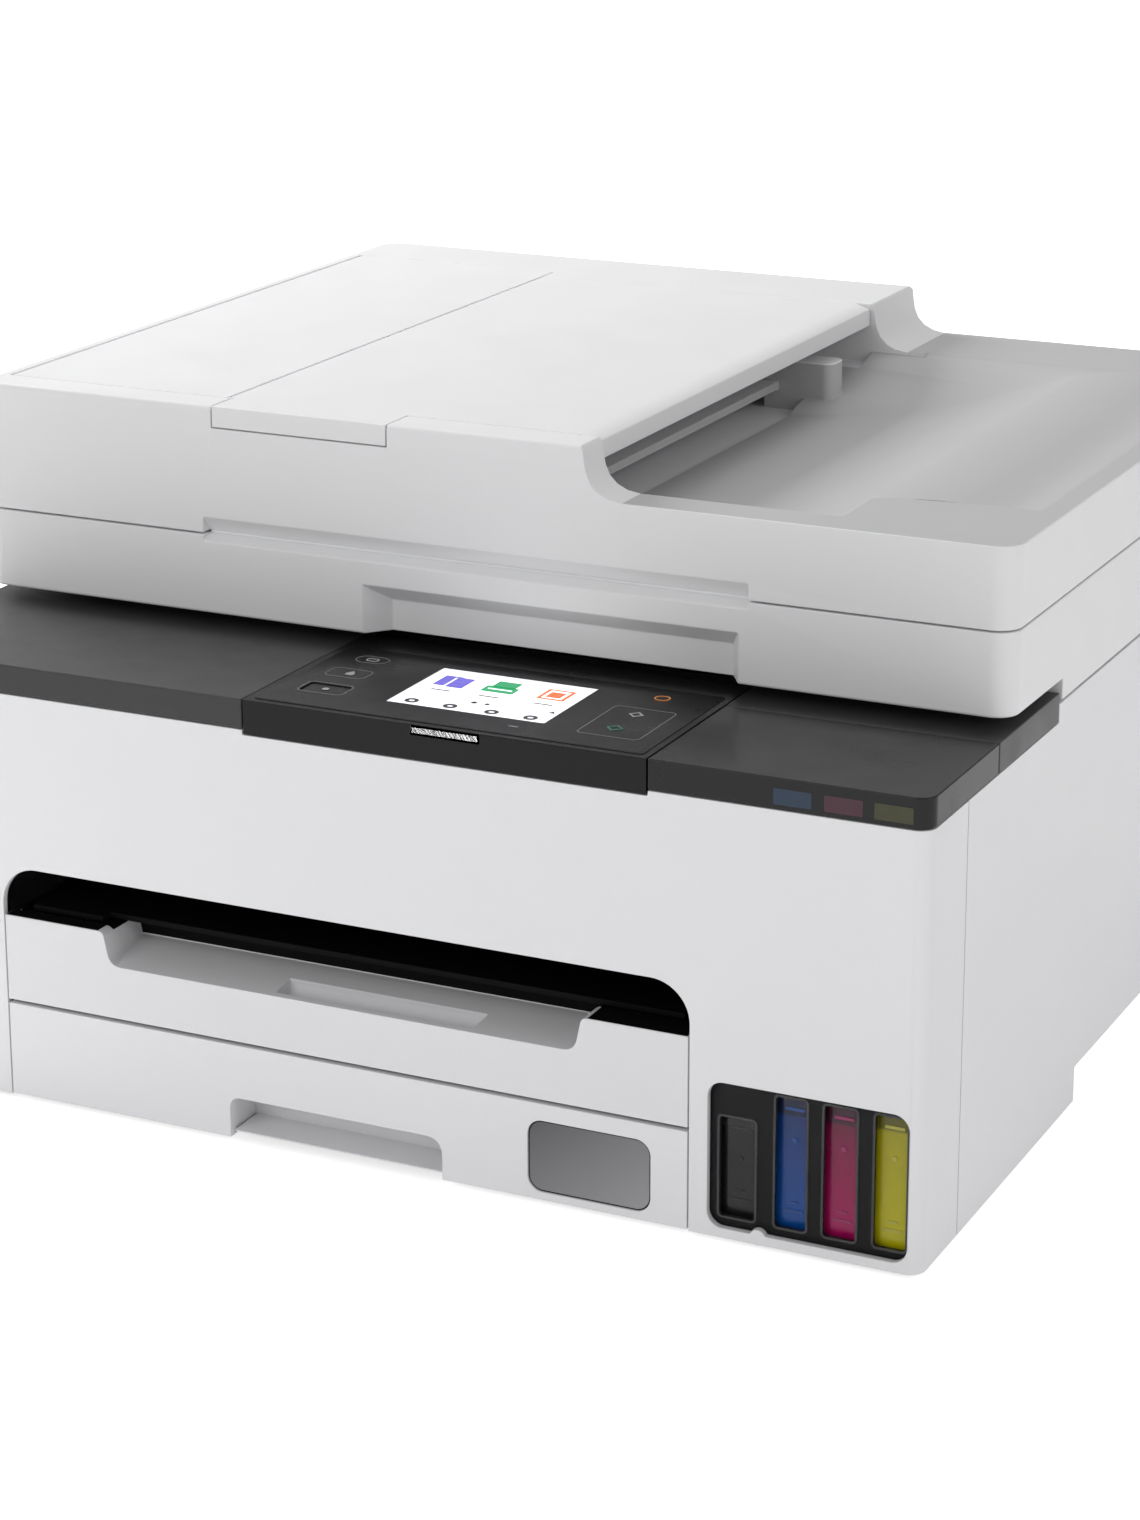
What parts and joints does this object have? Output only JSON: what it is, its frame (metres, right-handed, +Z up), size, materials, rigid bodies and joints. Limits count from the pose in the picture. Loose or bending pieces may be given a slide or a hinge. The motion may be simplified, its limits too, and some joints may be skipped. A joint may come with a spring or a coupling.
{
  "type": "inkjet printer",
  "caption": "Desktop inkjet printer with a flatbed scanner, document feeder, tilting touch panel, front paper cassette and refillable ink tanks behind a window.",
  "frame": {"origin": "centre of the footprint, on the surface the feet stand on", "axes": "+X to the right as seen from the front, +Y to the back, +Z up"},
  "size_m": [0.3696, 0.38, 0.226],
  "materials": {
    "shell": "light warm-grey satin moulded plastic",
    "tray": "light grey satin moulded plastic",
    "dark": "near-black satin-gloss moulded plastic",
    "smoke": "smoke-tinted clear plastic",
    "window": "smoke-tinted clear plastic window",
    "frame": "dark grey structural plastic",
    "steel": "plain plated sheet steel",
    "rubber": "black rubber",
    "board": "green circuit board",
    "screen": "lit display under clear plastic",
    "light": "white, soft sheen",
    "glass": "clear float glass",
    "black": "black ink behind clear plastic",
    "cyan": "blue ink behind clear plastic",
    "magenta": "magenta ink behind clear plastic",
    "yellow": "yellow ink behind clear plastic"
  },
  "bodies": {
    "chassis": {"base_frame": "frame", "front_housing": "shell", "side_cover_left": "shell", "side_cover_right": "shell", "rear_housing": "shell", "power_inlet": "dark", "lan_port": "dark", "usb_port": "steel", "deck": "frame", "left_deck_cover": "dark", "side_strip_right": "dark", "foot_front_left": "rubber", "foot_front_right": "rubber", "foot_rear_left": "rubber", "foot_rear_right": "rubber", "ink_tank_black": "black", "ink_tank_cyan": "cyan", "ink_tank_magenta": "magenta", "ink_tank_yellow": "yellow", "ink_window": "smoke", "carriage_rail": "steel", "drive_belt": "rubber", "platen": "frame", "purge_unit": "frame", "main_board": "board", "power_supply": "dark"},
    "rear_door": {"rear_cover": "shell"},
    "ink_lid": {"ink_cover": "smoke"},
    "control_panel": {"operation_panel": "dark", "touch_screen": "screen", "status_light_bar": "light"},
    "power_key": {"power_button": "dark"},
    "cassette": {"cassette_tray": "frame", "cassette_front": "shell", "level_window": "window"},
    "side_guide_left": {"paper_guide_left": "tray"},
    "side_guide_right": {"paper_guide_right": "tray"},
    "length_guide": {"paper_length_guide": "tray"},
    "lifter": {"lift_plate": "steel"},
    "paper_tray": {"output_tray": "tray"},
    "tray_extension": {"output_extension": "dark"},
    "print_carriage": {"carriage": "frame"},
    "drive_pulley": {"motor_pulley": "steel"},
    "return_pulley": {"idler_pulley": "steel"},
    "paper_feed": {"feed_roller": "rubber"},
    "paper_exit": {"exit_roller": "rubber"},
    "scanner_unit": {"scanner_base": "shell", "platen_glass": "glass"},
    "scan_bar": {"scan_carriage": "dark"},
    "lid": {"document_cover": "shell", "pressure_plate": "light"},
    "document_support": {"document_tray": "shell"},
    "feeder_lid": {"feeder_cover": "shell"},
    "document_fence_front": {"document_guide_front": "tray"},
    "document_fence_rear": {"document_guide_rear": "tray"},
    "document_feed": {"document_pick_roller": "rubber"},
    "cap_black": {"tank_cap_black": "black"},
    "cap_cyan": {"tank_cap_cyan": "cyan"},
    "cap_magenta": {"tank_cap_magenta": "magenta"},
    "cap_yellow": {"tank_cap_yellow": "yellow"}
  },
  "joints": [
    {"name": "scanner_lift", "type": "hinge", "parent": "chassis", "child": "scanner_unit", "pos_m": [0.00225, 0.1765, 0.15], "axis": [-1, 0, 0], "range_deg": [0, 35]},
    {"name": "lid_open", "type": "hinge", "parent": "scanner_unit", "child": "lid", "pos_m": [0.00225, 0.1705, 0.1846], "axis": [-1, 0, 0], "range_deg": [0, 70]},
    {"name": "scan_bar_travel", "type": "slide", "parent": "scanner_unit", "child": "scan_bar", "axis": [1, 0, 0], "range_m": [0, 0.32]},
    {"name": "document_tray_open", "type": "hinge", "parent": "lid", "child": "document_support", "pos_m": [0.03525, 0.0125, 0.2205], "axis": [0, 1, 0], "range_deg": [0, 150]},
    {"name": "feeder_cover_open", "type": "hinge", "parent": "lid", "child": "feeder_lid", "pos_m": [-0.17675, 0.016, 0.2243], "axis": [0, -1, 0], "range_deg": [0, 80]},
    {"name": "document_fence_front_slide", "type": "slide", "parent": "lid", "child": "document_fence_front", "axis": [0, 1, 0], "range_m": [0, 0.05]},
    {"name": "document_fence_rear_slide", "type": "slide", "parent": "lid", "child": "document_fence_rear", "axis": [0, -1, 0], "range_m": [0, 0.05]},
    {"name": "document_feed_spin", "type": "hinge", "parent": "lid", "child": "document_feed", "pos_m": [-0.10975, 0.0125, 0.207], "axis": [0, 1, 0], "continuous": true},
    {"name": "panel_tilt", "type": "hinge", "parent": "chassis", "child": "control_panel", "pos_m": [0.02615, -0.126, 0.1435], "axis": [-1, 0, 0], "range_deg": [0, 40]},
    {"name": "power_key_press", "type": "slide", "parent": "control_panel", "child": "power_key", "axis": [0, 0, -1], "range_m": [0, 0.0006], "stiffness_N_per_m": 400},
    {"name": "ink_lid_open", "type": "hinge", "parent": "chassis", "child": "ink_lid", "pos_m": [0.14225, -0.133, 0.1506], "axis": [-1, 0, 0], "range_deg": [0, 85]},
    {"name": "cap_black_open", "type": "hinge", "parent": "chassis", "child": "cap_black", "pos_m": [0.12425, -0.152, 0.1162], "axis": [-1, 0, 0], "range_deg": [0, 80]},
    {"name": "cap_cyan_open", "type": "hinge", "parent": "chassis", "child": "cap_cyan", "pos_m": [0.14175, -0.152, 0.1162], "axis": [-1, 0, 0], "range_deg": [0, 80]},
    {"name": "cap_magenta_open", "type": "hinge", "parent": "chassis", "child": "cap_magenta", "pos_m": [0.15775, -0.152, 0.1162], "axis": [-1, 0, 0], "range_deg": [0, 80]},
    {"name": "cap_yellow_open", "type": "hinge", "parent": "chassis", "child": "cap_yellow", "pos_m": [0.17405, -0.152, 0.1162], "axis": [-1, 0, 0], "range_deg": [0, 80]},
    {"name": "cassette_pull", "type": "slide", "parent": "chassis", "child": "cassette", "axis": [0, -1, 0], "range_m": [0, 0.22]},
    {"name": "side_guide_right_slide", "type": "slide", "parent": "cassette", "child": "side_guide_right", "axis": [-1, 0, 0], "range_m": [0, 0.053]},
    {"name": "side_guide_left_slide", "type": "slide", "parent": "cassette", "child": "side_guide_left", "axis": [1, 0, 0], "range_m": [0, 0.053]},
    {"name": "length_guide_slide", "type": "slide", "parent": "cassette", "child": "length_guide", "axis": [0, 1, 0], "range_m": [0, 0.087]},
    {"name": "lift_plate_rise", "type": "hinge", "parent": "cassette", "child": "lifter", "pos_m": [-0.01275, 0.0045, 0.0074], "axis": [1, 0, 0], "range_deg": [0, 8]},
    {"name": "output_tray_pull", "type": "slide", "parent": "chassis", "child": "paper_tray", "axis": [0, -1, 0], "range_m": [0, 0.11]},
    {"name": "extension_pull", "type": "slide", "parent": "paper_tray", "child": "tray_extension", "axis": [0, -1, 0], "range_m": [0, 0.085]},
    {"name": "carriage_travel", "type": "slide", "parent": "chassis", "child": "print_carriage", "axis": [-1, 0, 0], "range_m": [0, 0.249]},
    {"name": "drive_pulley_spin", "type": "hinge", "parent": "chassis", "child": "drive_pulley", "pos_m": [-0.14375, 0.036, 0.118], "axis": [0, -1, 0], "range_deg": [0, 2400]},
    {"name": "return_pulley_spin", "type": "hinge", "parent": "chassis", "child": "return_pulley", "pos_m": [0.14425, 0.036, 0.118], "axis": [0, -1, 0], "range_deg": [0, 2400]},
    {"name": "paper_feed_spin", "type": "hinge", "parent": "chassis", "child": "paper_feed", "pos_m": [-0.01275, 0.034, 0.08], "axis": [1, 0, 0], "continuous": true},
    {"name": "paper_exit_spin", "type": "hinge", "parent": "chassis", "child": "paper_exit", "pos_m": [-0.01275, -0.053, 0.08], "axis": [1, 0, 0], "continuous": true},
    {"name": "rear_door_open", "type": "hinge", "parent": "chassis", "child": "rear_door", "pos_m": [-0.00275, 0.189, 0.0616], "axis": [-1, 0, 0], "range_deg": [0, 60]}
  ],
  "couplings": [
    {"joint": "document_fence_rear_slide", "follows": "document_fence_front_slide", "ratio": 1},
    {"joint": "side_guide_left_slide", "follows": "side_guide_right_slide", "ratio": 1},
    {"joint": "drive_pulley_spin", "follows": "carriage_travel", "rad_per_m": 153.85},
    {"joint": "return_pulley_spin", "follows": "carriage_travel", "rad_per_m": 153.85},
    {"joint": "paper_exit_spin", "follows": "paper_feed_spin", "ratio": 1.2}
  ]
}
